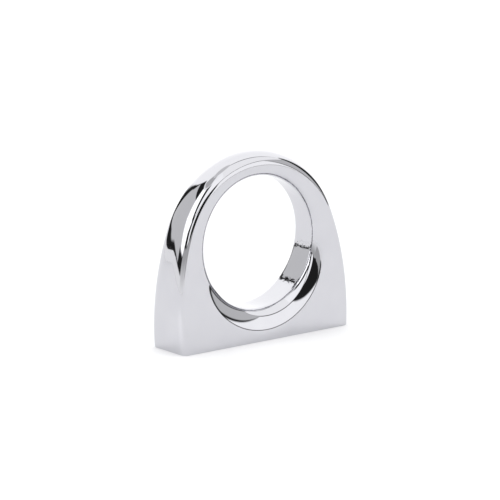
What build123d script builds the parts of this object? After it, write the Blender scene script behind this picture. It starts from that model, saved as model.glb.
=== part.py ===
import os
from math import atan2, cos, degrees, radians, sin, sqrt

from build123d import *

# Ring knob for a drawer or cabinet door: one casting, polished and plated all over.
# Origin at the middle of the base, +Z away from the door, the finger hole runs along Y.
# Sizes in millimetres.

# Finger hole and the walls around it
throat_radius = 15.75  # narrowest part of the finger hole
foot_depth = 12.6  # front face to back face at the base
crown_depth = 7.6  # front to back at the top, as the faces lean together
base_wall = 7.4  # from the base up to the hole
side_wall = 8.25  # beside the hole, measured at the foot
crown_wall = 5.6  # over the hole

# Outline
crown_drop = 1.2  # the crown arc's centre lies this far below the hole's centre
foot_lean = 7.6  # degrees that the sides lean outwards as they leave the base

# Flare of the finger hole, a quarter ellipse on each face, larger below than above
flare_base = 6.05  # width at the bottom of the hole
flare_crown = 2.45  # width at the top of the hole
flare_base_depth = 2.9  # how far it reaches into the hole, at the bottom
flare_crown_depth = 2.1  # and at the top
flare_growth = 1.6  # power with which the flare grows towards the bottom

# Rounding of the outer edges, small at the foot and growing towards the crown
foot_rounding = 1.3
rounding_growth = 3.0  # power of the height with which it widens over the faces
barrel_height = 34.0  # height at which the front and back rounding have met across the side
crown_land = 0.4  # width of the band that is left between them
face_flat = 0.08  # least width of face left between flare and rounding

# Fixing hole, tap drill for an M4 screw from behind the door
tap_radius = 1.65
tap_roof = 1.65  # metal left between the hole's end and the finger hole
tap_mouth = 0.45  # chamfer at the entry

# Spacing of the sections around the finger hole, which run past the middle plane at both ends
section_step = 9
section_end = 126

hole_height = base_wall + throat_radius
half_width = throat_radius + side_wall
height = hole_height + throat_radius + crown_wall
crown_radius = throat_radius + crown_wall + crown_drop
crown_height = height - crown_radius

hole_centre = Vector(0, hole_height)
crown_centre = Vector(0, crown_height)

# The side is one large arc through the foot that runs smoothly into the crown arc
lean = radians(foot_lean)
side_radius = (half_width**2 + crown_height**2 - crown_radius**2) / (
    2 * (half_width * cos(lean) + crown_height * sin(lean) - crown_radius)
)
side_centre = Vector(half_width - side_radius * cos(lean), side_radius * sin(lean))
spring = crown_centre + (crown_centre - side_centre).normalized() * crown_radius
spring_angle = degrees(atan2(spring.Y - hole_height, spring.X))


def outline_point(angle):
    """Where a ray from the hole's centre meets the outline: its height, the distance and the facing."""
    ray = Vector(cos(radians(angle)), sin(radians(angle)))
    if angle > spring_angle:
        centre, radius = crown_centre, crown_radius
    else:
        centre, radius = side_centre, side_radius
    offset = hole_centre - centre
    along = offset.dot(ray)
    reach = sqrt(along**2 - offset.dot(offset) + radius**2) - along
    point = hole_centre + ray * reach
    normal = (point - centre) / radius
    return point.Y, reach, normal.dot(ray)


def quarter(start, corner, end):
    """Quarter of an ellipse that leaves start towards the corner and comes to end from it."""
    Bezier(start, corner, end, weights=[1, sqrt(0.5), 1])


def section(angle):
    """Closed section through one wall of the ring, in the plane of the hole's axis at an angle."""
    top, reach, facing = outline_point(angle)
    rise = max(top / height, 0) ** rounding_growth
    spread = ((1 - sin(radians(angle))) / 2) ** flare_growth
    flare = flare_crown + (flare_base - flare_crown) * spread
    flare_depth = flare_crown_depth + (flare_base_depth - flare_crown_depth) * spread
    crown_rounding = crown_wall - flare_crown - face_flat
    rounding = foot_rounding + (crown_rounding - foot_rounding) * rise
    rounding = min(rounding / facing, reach - throat_radius - flare - face_flat)
    climb = min(max(top / barrel_height, 0), 1)
    swell = climb**2 * (3 - 2 * climb)
    radial = (cos(radians(angle)), 0, sin(radians(angle)))
    across = (-sin(radians(angle)), 0, cos(radians(angle)))

    def face(distance):
        share = (hole_height + distance * radial[2]) / height
        return Vector(distance, (foot_depth + (crown_depth - foot_depth) * share) / 2)

    rounding_depth = foot_rounding + (face(reach).Y - crown_land / 2 - foot_rounding) * swell
    flare_start = face(throat_radius) - (0, flare_depth)
    rounding_end = face(reach) - (0, rounding_depth)
    with BuildSketch(Plane((0, 0, hole_height), x_dir=radial, z_dir=across)) as profile:
        with BuildLine():
            Line((throat_radius, 0), flare_start)
            quarter(flare_start, face(throat_radius), face(throat_radius + flare))
            Line(face(throat_radius + flare), face(reach - rounding))
            quarter(face(reach - rounding), face(reach), rounding_end)
            Line(rounding_end, (reach, 0))
            mirror(about=Plane.XZ)
        make_face()
    return profile.sketch


with BuildPart() as ring_knob:
    # One half of the ring, trimmed at the middle plane and at the base
    loft([section(angle) for angle in range(section_end, -section_end - 1, -section_step)])
    split(bisect_by=Plane.YZ, keep=Keep.TOP)
    split(bisect_by=Plane.XY, keep=Keep.TOP)
    mirror(about=Plane.YZ)
    # Tapped hole in the base
    with Locations(Plane((0, 0, 0), z_dir=(0, 0, -1))):
        CounterSinkHole(tap_radius, tap_radius + tap_mouth, base_wall - tap_roof, 90)

os.makedirs("parts", exist_ok=True)
ring_knob.part.label = "ring_knob_body"
export_step(ring_knob.part, "parts/ring_knob_body.step")
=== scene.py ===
import bpy
from math import atan2, cos, degrees, radians, sin, sqrt, tan
from mathutils import Matrix, Vector


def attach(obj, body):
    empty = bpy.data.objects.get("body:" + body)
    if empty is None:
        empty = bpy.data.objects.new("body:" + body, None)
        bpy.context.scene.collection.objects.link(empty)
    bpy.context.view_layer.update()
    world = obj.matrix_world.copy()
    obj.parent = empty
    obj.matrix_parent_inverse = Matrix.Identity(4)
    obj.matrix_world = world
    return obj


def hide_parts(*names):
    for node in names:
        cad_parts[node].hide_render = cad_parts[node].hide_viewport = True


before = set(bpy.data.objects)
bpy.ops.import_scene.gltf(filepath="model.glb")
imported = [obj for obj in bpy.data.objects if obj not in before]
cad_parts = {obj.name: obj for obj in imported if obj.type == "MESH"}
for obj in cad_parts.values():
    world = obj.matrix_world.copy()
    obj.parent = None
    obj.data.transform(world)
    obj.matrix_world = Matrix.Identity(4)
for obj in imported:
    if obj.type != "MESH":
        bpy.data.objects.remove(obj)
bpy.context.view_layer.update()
scene = bpy.context.scene
mm = 0.001
touch = 1e-7  # metres, places closer than this count as the same


def linear(hexColour):  # sRGB hex to the linear values that shaders take
    parts = [int(hexColour[place:place + 2], 16) / 255 for place in (1, 3, 5)]
    return [part / 12.92 if part <= 0.04045 else ((part + 0.055) / 1.055) ** 2.4 for part in parts] + [1]


def addNode(tree, kind, links=None, values=None, **settings):  # one node with its settings and links
    node = tree.nodes.new(kind)
    for name, setting in settings.items():
        setattr(node, name, setting)
    for name, value in (values or {}).items():
        node.inputs[name].default_value = value
    for name, socket in (links or {}).items():
        tree.links.new(socket, node.inputs[name])
    return node


# Camera: a long lens from the front left, a little above the knob
camera = {
    "turn": -36.46,  # degrees from the front, towards the left
    "lift": 13.34,  # degrees above the floor
    "roll": -0.78,
    "aim": (0, 0, 20.7 * mm),
    "distance": 1.44,
    "seenWidth": 117.29 * mm,  # what the frame spans at the knob
}


def placeCamera(view):
    data = bpy.data.cameras.new("photoCamera")
    data.lens = data.sensor_width * view["distance"] / view["seenWidth"]
    turn, lift = radians(view["turn"]), radians(view["lift"])
    back = Vector((sin(turn) * cos(lift), -cos(turn) * cos(lift), sin(lift)))
    stand = bpy.data.objects.new("photoCamera", data)
    scene.collection.objects.link(stand)
    place = Matrix.Translation(Vector(view["aim"]) + back * view["distance"])
    facing = back.to_track_quat("Z", "Y").to_matrix().to_4x4()
    stand.matrix_world = place @ facing @ Matrix.Rotation(radians(view["roll"]), 4, "Z")
    scene.camera = stand
    print("camera placed")


# Studio: a white tent with open seams, seen only in the plating's reflections
studio = {
    "plain": "#FFFFFF",  # what the camera sees behind the floor
    "dark": 0.02,  # the unlit room that shows in the seams
    # The table's edge lies at base and curls up in front on the left, between rise and fall. The table
    # fades as it climbs. In degrees, as the panels are
    "table": {"base": -0.4, "curl": 15, "rise": (-106, -88), "fall": (18, -45), "soft": 1.2,
              "fade": 10.6, "level": (1.14, 0.55)},
    # Each panel has its bottom and top in degrees above the floor, then its left and right edge in degrees
    # round from the front, at the bottom and at the top. Later ones hang over earlier ones, and the notes
    # say where each shows from the photo's angle
    "panels": {
        "greyLeft": {"lift": (5.4, 49.5), "level": 0.8, "soft": 1.2,  # grey field of the left shoulder
                     "low": (-178, -109), "high": (-155, -105)},
        "seamLeft": {"lift": (4.4, 10.8), "level": 0.02, "soft": 1.2,  # dark point below it
                     "low": (-121, -98), "high": (-117, -97)},
        "boxLeft": {"lift": (28, 64.5), "level": 2.0, "soft": 2.5,  # white strip beside it
                    "low": (-110, -72), "high": (-102, -58)},
        "boxLeftLow": {"lift": (11, 31.5), "level": 2.0, "soft": 2,  # the strip's lower end
                       "low": (-112, -96), "high": (-110, -64)},
        "boxFront": {"lift": (34, 68.5), "level": 1.45, "soft": 2,  # light line next to the strip
                     "low": (-51, 18), "high": (-25, 10)},
        "boxFrontLow": {"lift": (15.5, 32.5), "level": 1.45, "soft": 2,  # the same line, lower
                        "low": (-68, -48), "high": (-42, -11)},
        "greyFront": {"lift": (2, 10), "level": 0.52, "soft": 1.5,  # grey on the flare's right
                      "low": (-34, 16), "high": (-38, -17)},
        "boxRight": {"lift": (1.2, 31), "level": 1.4, "soft": 1.5,  # the low flare
                     "low": (19, 46), "high": (12, 47)},
        "overLeft": {"lift": (64.5, 90), "level": 1.4, "soft": 2,  # left end of the crown
                     "low": (-181, 8), "high": (-181, 4)},
        "overGap": {"lift": (66.5, 80), "level": 0.62, "soft": 3,  # grey wedge in it
                    "low": (-128, -38), "high": (-128, -33)},
        "overFront": {"lift": (33.5, 90), "level": 1.32, "soft": 1.5,  # front of the crown
                      "low": (14, 85), "high": (-1, 66)},
        "greyRight": {"lift": (1.8, 33), "level": 0.72, "soft": 1.5,  # grey on the flare's left
                      "low": (51, 80), "high": (47, 83)},
        "backRight": {"lift": (-3, 37), "level": 1.4, "soft": 3,  # back of the crown
                      "low": (124, 158), "high": (90, 192.8)},
        "overBack": {"lift": (36, 90), "level": 1.4, "soft": 1.5,  # top of the crown
                     "low": (84, 199), "high": (80, 240)},
        "backLeft": {"lift": (-4, 68), "level": 1.4, "soft": 1.5,  # left end of the crown, at the back
                     "low": (-230, -203), "high": (-230, -140)},
        "tableLeft": {"lift": (-2.5, 4.4), "level": 1.14, "soft": 1,  # left side, below the shoulder
                      "low": (-191, -96), "high": (-130, -97)},
        "overhead": {"lift": (80, 95), "level": 0.85, "soft": 3,  # duller spot on the crown
                     "low": (-190, 190), "high": (-190, 190)},
    },
}


def hangPanel(tree, turn, lift, behind, panel):  # lays a panel over what is behind it, with soft edges
    bottom, top = panel["lift"]
    soft = panel["soft"]
    cover = addNode(tree, "ShaderNodeMapRange", {"Value": lift},
                    {"From Min": bottom - soft / 2, "From Max": bottom + soft / 2},
                    interpolation_type="SMOOTHSTEP").outputs[0]
    cover = addNode(tree, "ShaderNodeMapRange", {"Value": lift, "To Max": cover},
                    {"From Min": top + soft / 2, "From Max": top - soft / 2},
                    interpolation_type="SMOOTHSTEP").outputs[0]
    for side, inward in ((0, soft), (1, -soft)):  # the left and right edges slant
        ends = [addNode(tree, "ShaderNodeMapRange", {"Value": lift},
                        {"From Min": bottom, "From Max": top,
                         "To Min": panel["low"][side] + shift, "To Max": panel["high"][side] + shift},
                        clamp=False).outputs[0] for shift in (-inward, inward)]
        cover = addNode(tree, "ShaderNodeMapRange",
                        {"Value": turn, "From Min": ends[0], "From Max": ends[1], "To Max": cover},
                        interpolation_type="SMOOTHSTEP").outputs[0]
    return addNode(tree, "ShaderNodeMapRange", {"Value": cover, "To Min": behind},
                   {"To Max": panel["level"]}).outputs[0]


def curlTable(tree, turn, lift, dark, table):  # the table up to its curled edge, then the dark room
    curl = addNode(tree, "ShaderNodeMapRange", {"Value": turn},
                   {"From Min": table["rise"][0], "From Max": table["rise"][1]},
                   interpolation_type="SMOOTHSTEP").outputs[0]
    curl = addNode(tree, "ShaderNodeMapRange", {"Value": turn, "To Max": curl},
                   {"From Min": table["fall"][0], "From Max": table["fall"][1]},
                   interpolation_type="SMOOTHSTEP").outputs[0]
    base, crest = table["base"], table["base"] + table["curl"]
    ends = [addNode(tree, "ShaderNodeMapRange", {"Value": curl},
                    {"To Min": base + shift, "To Max": crest + shift}).outputs[0]
            for shift in (table["soft"] / 2, -table["soft"] / 2)]
    cover = addNode(tree, "ShaderNodeMapRange", {"Value": lift, "From Min": ends[0], "From Max": ends[1]},
                    interpolation_type="SMOOTHSTEP").outputs[0]
    flat, climbing = table["level"]
    tone = addNode(tree, "ShaderNodeMapRange", {"Value": lift},
                   {"From Max": table["fade"], "To Min": flat, "To Max": climbing}).outputs[0]
    return addNode(tree, "ShaderNodeMapRange", {"Value": cover, "To Max": tone},
                   {"To Min": dark}).outputs[0]


def buildStudio(room):
    world = bpy.data.worlds.new("whiteTent")
    world.use_nodes = True
    scene.world = world
    tree = world.node_tree
    tree.nodes.clear()
    place = addNode(tree, "ShaderNodeTexCoord")
    axes = addNode(tree, "ShaderNodeSeparateXYZ", {0: place.outputs["Generated"]}).outputs
    front = addNode(tree, "ShaderNodeMath", {0: axes["Y"]}, {1: -1}, operation="MULTIPLY").outputs[0]
    around = addNode(tree, "ShaderNodeMath", {0: axes["X"], 1: front}, operation="ARCTAN2").outputs[0]
    turn = addNode(tree, "ShaderNodeMath", {0: around}, operation="DEGREES").outputs[0]
    height = addNode(tree, "ShaderNodeMath", {0: axes["Z"]}, operation="ARCSINE").outputs[0]
    lift = addNode(tree, "ShaderNodeMath", {0: height}, operation="DEGREES").outputs[0]
    level = curlTable(tree, turn, lift, room["dark"], room["table"])
    for panel in room["panels"].values():
        level = hangPanel(tree, turn, lift, level, panel)
    tent = addNode(tree, "ShaderNodeBackground", {"Color": level})
    plain = addNode(tree, "ShaderNodeBackground", values={"Color": linear(room["plain"])})
    path = addNode(tree, "ShaderNodeLightPath")
    seen = addNode(tree, "ShaderNodeMixShader",
                   {0: path.outputs["Is Camera Ray"], 1: tent.outputs[0], 2: plain.outputs[0]})
    addNode(tree, "ShaderNodeOutputWorld", {"Surface": seen.outputs[0]})
    print("studio built with", len(room["panels"]), "panels")


# Floor, the soft lamp over it, and a narrow one on the paper to the left, for a light line down the
# corner. Sizes and places in metres
floor = {"size": 8.0, "colour": "#F6F6F7", "roughness": 0.85}
lamps = {
    "top": {"kind": "AREA", "watts": 5.3, "at": (0, 0, 1.5), "aim": (0, 0, 0), "shape": {"size": 1.6}},
    "corner": {"kind": "SPOT", "watts": 7.0, "at": (-0.70, -0.12, 0.35), "aim": (-0.068, -0.014, 0),
               "shape": {"spot_size": radians(5), "spot_blend": 1.0, "shadow_soft_size": 0.02}},
}


def layFloor(sheet, lights):
    bpy.ops.object.select_all(action="DESELECT")
    bpy.ops.mesh.primitive_plane_add(size=sheet["size"], location=(0, 0, 0))
    ground = bpy.context.object
    ground.name = "paleFloor"
    paper = bpy.data.materials.new("matt white paper sweep")  # soft and even, with no shine of its own
    paper.use_nodes = True
    shader = paper.node_tree.nodes["Principled BSDF"].inputs
    shader["Base Color"].default_value = linear(sheet["colour"])
    shader["Roughness"].default_value = sheet["roughness"]
    ground.data.materials.append(paper)
    for name, lamp in lights.items():
        data = bpy.data.lights.new(name + "Lamp", lamp["kind"])
        data.energy = lamp["watts"]
        data.use_shadow = False  # the paper round the foot stays as pale as the rest
        for setting, value in lamp["shape"].items():
            setattr(data, setting, value)
        stand = bpy.data.objects.new(name + "Lamp", data)
        stand.location = lamp["at"]
        back = Vector(lamp["at"]) - Vector(lamp["aim"])
        stand.rotation_euler = back.to_track_quat("Z", "Y").to_euler()
        stand.visible_glossy = False  # it lights the paper, and the tent alone shows in the plating
        scene.collection.objects.link(stand)
    print("floor laid and lit")


# Bright chrome over a buffed zinc casting: a cool clear mirror, with the slow waves that hand polishing
# leaves. Sizes in mm
chrome = {
    "colour": "#CECED2",
    "cloud": {"colour": "#C7C7CC", "size": 6.0},  # plating a trace thinner, so a shade greyer
    # Real buffing marks are about 0.02 mm wide and are drawn coarser to show
    "buffing": {"size": 0.4, "noise": (0.3, 0.7), "roughness": (0.012, 0.05)},
    "wave": {"size": 5.0, "height": 0.005},
    # The ripple is inside the hole, out of the buffing wheel's reach, and fades out between two radii
    "ripple": {"size": 1.1, "height": 0.042, "radius": (16.3, 15.9), "flat": 0.5},
    "noiseDetail": 2,
}


def makeChrome(finish, axisHeight):
    material = bpy.data.materials.new("bright chrome plating on buffed zinc casting")
    material.use_nodes = True
    tree = material.node_tree
    tree.nodes.clear()
    place = addNode(tree, "ShaderNodeTexCoord").outputs["Object"]
    noise = {}
    for name in ("cloud", "buffing", "wave", "ripple"):
        scale = 1 / (finish[name]["size"] * mm)
        noise[name] = addNode(tree, "ShaderNodeTexNoise", {"Vector": place},
                              {"Scale": scale, "Detail": finish["noiseDetail"]}).outputs[0]
    colour = addNode(tree, "ShaderNodeMix", {0: noise["cloud"]},
                     {6: linear(finish["colour"]), 7: linear(finish["cloud"]["colour"])},
                     data_type="RGBA")
    faint, strong = finish["buffing"]["noise"]
    clear, dull = finish["buffing"]["roughness"]
    haze = addNode(tree, "ShaderNodeMapRange", {"Value": noise["buffing"]},
                   {"From Min": faint, "From Max": strong, "To Min": clear, "To Max": dull})
    # Distance from the finger hole's axis keeps the ripple to the bore
    axis = addNode(tree, "ShaderNodeMapping", {"Vector": place},
                   {"Location": (0, 0, -axisHeight * mm), "Scale": (1, 0, 1)})
    away = addNode(tree, "ShaderNodeVectorMath", {0: axis.outputs[0]}, operation="LENGTH")
    outer, inner = finish["ripple"]["radius"]
    bore = addNode(tree, "ShaderNodeMapRange", {"Value": away.outputs["Value"], "To Max": noise["ripple"]},
                   {"From Min": outer * mm, "From Max": inner * mm, "To Min": finish["ripple"]["flat"]})
    wave = addNode(tree, "ShaderNodeBump", {"Height": noise["wave"]},
                   {"Distance": finish["wave"]["height"] * mm})
    ripple = addNode(tree, "ShaderNodeBump", {"Height": bore.outputs[0], "Normal": wave.outputs[0]},
                     {"Distance": finish["ripple"]["height"] * mm})
    shader = addNode(tree, "ShaderNodeBsdfPrincipled",
                     {"Base Color": colour.outputs[2], "Roughness": haze.outputs[0],
                      "Normal": ripple.outputs[0]}, {"Metallic": 1})
    addNode(tree, "ShaderNodeOutputMaterial", {"Surface": shader.outputs[0]})
    print("chrome mixed")
    return material


# The ring's casting: the same form as the CAD node, on an even mesh that mirrors cleanly. Sizes in mm
ring = {
    "throatRadius": 15.75,  # narrowest part of the finger hole
    "footDepth": 12.6,  # front to back at the base
    "crownDepth": 7.6,  # and at the top
    "baseWall": 7.4,
    "sideWall": 8.25,
    "crownWall": 5.6,
    "crownDrop": 1.2,  # the crown arc's centre below the hole's centre
    "footLean": 7.6,  # degrees
    "flareBase": (6.05, 2.9),  # width and depth of the flare at the bottom of the hole
    "flareCrown": (2.45, 2.1),  # and at the top
    "flareGrowth": 1.6,
    "footRounding": 1.3,
    "roundingGrowth": 3.0,
    "barrelHeight": 34.0,  # where the front and back rounding have met across the side
    "crownLand": 0.4,
    "faceFlat": 0.08,
    "footEase": 0.16,  # the casting's bottom edge is eased, so that it doesn't mark the door
    "easeSteps": 3,
    "stepsRound": 240,  # from the crown down to the middle of the base
    "stepsAcross": {"bore": 4, "flare": 26, "face": 8, "rounding": 26, "band": 3},
    "seam": 0.001,  # the mirrored halves join within this
    "weld": 0.002,  # and doubled points merge within this
}


def ringOutline(sizes):  # crown arc and side arc, as they meet
    holeHeight = sizes["baseWall"] + sizes["throatRadius"]
    halfWidth = sizes["throatRadius"] + sizes["sideWall"]
    height = holeHeight + sizes["throatRadius"] + sizes["crownWall"]
    crownRadius = sizes["throatRadius"] + sizes["crownWall"] + sizes["crownDrop"]
    crownHeight = height - crownRadius
    lean = radians(sizes["footLean"])
    sideRadius = (halfWidth ** 2 + crownHeight ** 2 - crownRadius ** 2) / (
        2 * (halfWidth * cos(lean) + crownHeight * sin(lean) - crownRadius))
    crown = Vector((0, crownHeight))
    side = Vector((halfWidth - sideRadius * cos(lean), sideRadius * sin(lean)))
    spring = crown + (crown - side).normalized() * crownRadius
    return {"hole": Vector((0, holeHeight)), "height": height, "crown": (crown, crownRadius),
            "side": (side, sideRadius), "springAngle": degrees(atan2(spring.y - holeHeight, spring.x))}


def spread(start, end, steps):  # points along a straight run, without its first
    return [start.lerp(end, (step + 1) / steps) for step in range(steps)]


def quarter(start, corner, end, steps):  # points along a quarter ellipse that rounds off a corner
    centre = start + end - corner
    turns = [radians(90 * (step + 1) / steps) for step in range(steps)]
    return [centre + (start - centre) * cos(turn) + (end - centre) * sin(turn) for turn in turns]


def wallSection(angle, sizes, outline):  # half a section: distance from the hole's axis, and depth
    throat, footRounding, flat = sizes["throatRadius"], sizes["footRounding"], sizes["faceFlat"]
    ray = Vector((cos(radians(angle)), sin(radians(angle))))
    centre, radius = outline["crown"] if angle > outline["springAngle"] else outline["side"]
    offset = outline["hole"] - centre
    along = offset.dot(ray)
    reach = sqrt(along ** 2 - offset.dot(offset) + radius ** 2) - along
    point = outline["hole"] + ray * reach
    facing = (point - centre).dot(ray) / radius
    share = ((1 - ray.y) / 2) ** sizes["flareGrowth"]
    ends = zip(sizes["flareBase"], sizes["flareCrown"])
    flare, flareDepth = [crown + (base - crown) * share for base, crown in ends]
    rise = max(point.y / outline["height"], 0) ** sizes["roundingGrowth"]
    crownRounding = sizes["crownWall"] - sizes["flareCrown"][0] - flat
    rounding = footRounding + (crownRounding - footRounding) * rise
    rounding = min(rounding / facing, reach - throat - flare - flat)

    def face(distance):  # a point on the leaning face
        high = (outline["hole"].y + distance * ray.y) / outline["height"]
        depth = sizes["footDepth"] + (sizes["crownDepth"] - sizes["footDepth"]) * high
        return Vector((distance, depth / 2))

    climb = min(max(point.y / sizes["barrelHeight"], 0), 1)
    swell = climb ** 2 * (3 - 2 * climb)
    crownDepth = face(reach).y - sizes["crownLand"] / 2
    roundingDepth = footRounding + (crownDepth - footRounding) * swell
    flareStart = face(throat) - Vector((0, flareDepth))
    roundingEnd = face(reach) - Vector((0, roundingDepth))
    steps = sizes["stepsAcross"]
    half = [Vector((throat, 0))]
    half += spread(half[0], flareStart, steps["bore"])
    half += quarter(flareStart, face(throat), face(throat + flare), steps["flare"])
    half += spread(half[-1], face(reach - rounding), steps["face"])
    half += quarter(half[-1], face(reach), roundingEnd, steps["rounding"])
    half += spread(roundingEnd, Vector((reach, 0)), steps["band"])
    return half


def pickVertices(obj, test):  # leaves edit mode on, with only the vertices that pass selected
    bpy.ops.object.mode_set(mode="EDIT")
    bpy.ops.mesh.select_mode(type="VERT")
    bpy.ops.mesh.select_all(action="DESELECT")
    bpy.ops.object.mode_set(mode="OBJECT")
    for vertex in obj.data.vertices:
        vertex.select = test(vertex.co)
    bpy.ops.object.mode_set(mode="EDIT")


def castRing(sizes, outline):  # each row of a grid becomes a section, from the crown round to the base
    rows, across = sizes["stepsRound"], 2 * sum(sizes["stepsAcross"].values())
    bpy.ops.object.select_all(action="DESELECT")
    bpy.ops.mesh.primitive_grid_add(x_subdivisions=rows, y_subdivisions=across, size=2)
    body = bpy.context.object
    body.name = body.data.name = "ringCasting"
    angles = [90 - 180 * row / rows for row in range(rows + 1)]
    sections = []
    for angle in angles:
        half = wallSection(angle, sizes, outline)
        front = [(point.x, -point.y) for point in half]
        sections.append(front + [(point.x, point.y) for point in half[-2::-1]])
    for vertex in body.data.vertices:
        row, column = round((vertex.co.x + 1) / 2 * rows), round((vertex.co.y + 1) / 2 * across)
        distance, depth = sections[row][column]
        turn = radians(angles[row])
        vertex.co = Vector((distance * cos(turn), depth, outline["hole"].y + distance * sin(turn))) * mm
    mirror = body.modifiers.new("otherHalf", "MIRROR")
    mirror.merge_threshold = sizes["seam"] * mm
    bpy.ops.object.modifier_apply(modifier="otherHalf")
    bpy.ops.object.mode_set(mode="EDIT")
    bpy.ops.mesh.select_all(action="SELECT")
    bpy.ops.mesh.remove_doubles(threshold=sizes["weld"] * mm)
    bpy.ops.mesh.normals_make_consistent(inside=False)
    bpy.ops.object.mode_set(mode="OBJECT")
    print("ring cast")
    return body


def cutFoot(body, sizes):  # trims the ring near the base, then rounds its rim down and in
    ease = sizes["footEase"] * mm
    halfWidth, halfDepth = (sizes["throatRadius"] + sizes["sideWall"]) * mm, sizes["footDepth"] / 2 * mm
    bpy.ops.object.mode_set(mode="EDIT")
    bpy.ops.mesh.select_all(action="SELECT")
    bpy.ops.mesh.bisect(plane_co=(0, 0, ease), plane_no=(0, 0, 1), clear_inner=True, threshold=touch / 10)
    bpy.ops.object.mode_set(mode="OBJECT")
    pickVertices(body, lambda co: abs(co.z - ease) < touch)
    turns = [radians(90 * step / sizes["easeSteps"]) for step in range(sizes["easeSteps"] + 1)]
    for before, after in zip(turns, turns[1:]):
        drop = ease * (sin(after) - sin(before))
        inset = ease * (cos(before) - cos(after))
        bpy.ops.mesh.extrude_edges_move(TRANSFORM_OT_translate={"value": (0, 0, -drop)})
        bpy.ops.transform.resize(value=(1 - inset / halfWidth, 1 - inset / halfDepth, 1),
                                 center_override=(0, 0, 0))
    bpy.ops.object.mode_set(mode="OBJECT")
    print("foot cut and eased")


# Fixing hole in the middle of the base, with its M4 thread. Sizes in mm
fixingHole = {
    "mouth": 2.1,
    "radius": 2.0,  # at the roots of the thread
    "depth": 5.75,
    "sides": 72,  # round the hole, and in each turn of the thread
    "crest": 1.65,  # radius left free between the crests
    "crestWidth": 0.1,
    "flank": 30,  # degrees that each flank slopes
    "bite": 0.03,  # how far the ridge reaches into the wall
    "pitch": 0.7,
    "turns": 6,
    "start": 0.7,  # height of the first turn's middle
    "runOut": 24,  # sides over which the ridge rises from the wall
    "endShare": 0.05,  # of the ridge's height, at its ends
}


def openFixingHole(body, hole):  # the flat base round the mouth, then the chamfer and the wall
    bpy.ops.object.mode_set(mode="EDIT")
    bpy.ops.mesh.select_all(action="DESELECT")
    mouth = hole["mouth"] * mm
    bpy.ops.mesh.primitive_circle_add(vertices=hole["sides"], radius=mouth, location=(0, 0, 0))
    bpy.ops.object.mode_set(mode="OBJECT")
    pickVertices(body, lambda co: abs(co.z) < touch)
    bpy.ops.mesh.bridge_edge_loops()
    bpy.ops.object.mode_set(mode="OBJECT")
    pickVertices(body, lambda co: abs(co.z) < touch and co.xy.length < mouth + touch)
    chamfer = mouth - hole["radius"] * mm
    wall = hole["depth"] * mm - chamfer
    narrow = hole["radius"] / hole["mouth"]
    bpy.ops.mesh.extrude_edges_move(TRANSFORM_OT_translate={"value": (0, 0, chamfer)})
    bpy.ops.transform.resize(value=(narrow, narrow, 1), center_override=(0, 0, 0))
    bpy.ops.mesh.extrude_edges_move(TRANSFORM_OT_translate={"value": (0, 0, wall)})
    bpy.ops.mesh.edge_face_add()
    bpy.ops.mesh.select_all(action="SELECT")
    bpy.ops.mesh.normals_make_consistent(inside=False)
    bpy.ops.object.mode_set(mode="OBJECT")
    print("fixing hole opened")


def cutThread(hole):  # a ridge on four corners, screwed up the wall and run out into it at both ends
    foot = hole["radius"] + hole["bite"]
    half = hole["crestWidth"] / 2
    flank = half + (foot - hole["crest"]) * tan(radians(hole["flank"]))
    corners = [(foot, -flank), (hole["crest"], -half), (hole["crest"], half), (foot, flank)]
    bpy.ops.object.select_all(action="DESELECT")
    bpy.ops.mesh.primitive_circle_add(vertices=len(corners), radius=mm, location=(0, 0, 0))
    thread = bpy.context.object
    thread.name = thread.data.name = "fixingThread"
    for vertex, (radius, height) in zip(thread.data.vertices, corners):
        vertex.co = Vector((radius, 0, hole["start"] + height)) * mm
    screw = thread.modifiers.new("turns", "SCREW")
    screw.steps = screw.render_steps = hole["sides"]
    screw.screw_offset = hole["pitch"] * mm
    screw.iterations = hole["turns"]
    bpy.ops.object.modifier_apply(modifier="turns")
    steps = len(thread.data.vertices) // len(corners)
    for vertex in thread.data.vertices:
        step = vertex.index // len(corners)
        grown = min(step, steps - 1 - step, hole["runOut"]) / hole["runOut"]
        share = hole["endShare"] + (1 - hole["endShare"]) * grown
        radius = vertex.co.xy.length
        wider = (foot * mm - (foot * mm - radius) * share) / radius
        vertex.co.x *= wider
        vertex.co.y *= wider
    for end in (0, steps - 1):
        first = end * len(corners)
        picked = [vertex.co.copy() for vertex in thread.data.vertices[first:first + len(corners)]]
        pickVertices(thread, lambda co: any((co - point).length < touch for point in picked))
        bpy.ops.mesh.edge_face_add()
        bpy.ops.object.mode_set(mode="OBJECT")
    bpy.ops.object.mode_set(mode="EDIT")
    bpy.ops.mesh.select_all(action="SELECT")
    bpy.ops.mesh.normals_make_consistent(inside=False)
    bpy.ops.object.mode_set(mode="OBJECT")
    print("thread cut with", hole["turns"], "turns")
    return thread


smoothAngle = 25  # degrees, sharper edges stay crisp


def finishPiece(piece, material):  # smooth faces, plating and the body that it rides on
    bpy.ops.object.select_all(action="DESELECT")
    piece.select_set(True)
    bpy.context.view_layer.objects.active = piece
    bpy.ops.object.shade_smooth_by_angle(angle=radians(smoothAngle))
    piece.data.materials.clear()
    piece.data.materials.append(material)
    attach(piece, "root")
    print(piece.name, "finished with", len(piece.data.polygons), "faces")


placeCamera(camera)
buildStudio(studio)
layFloor(floor, lamps)

outline = ringOutline(ring)
plating = makeChrome(chrome, outline["hole"].y)
body = castRing(ring, outline)
cutFoot(body, ring)
openFixingHole(body, fixingHole)
finishPiece(body, plating)
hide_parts("ring_knob_body")
finishPiece(cutThread(fixingHole), plating)

scene.view_settings.view_transform = "Standard"
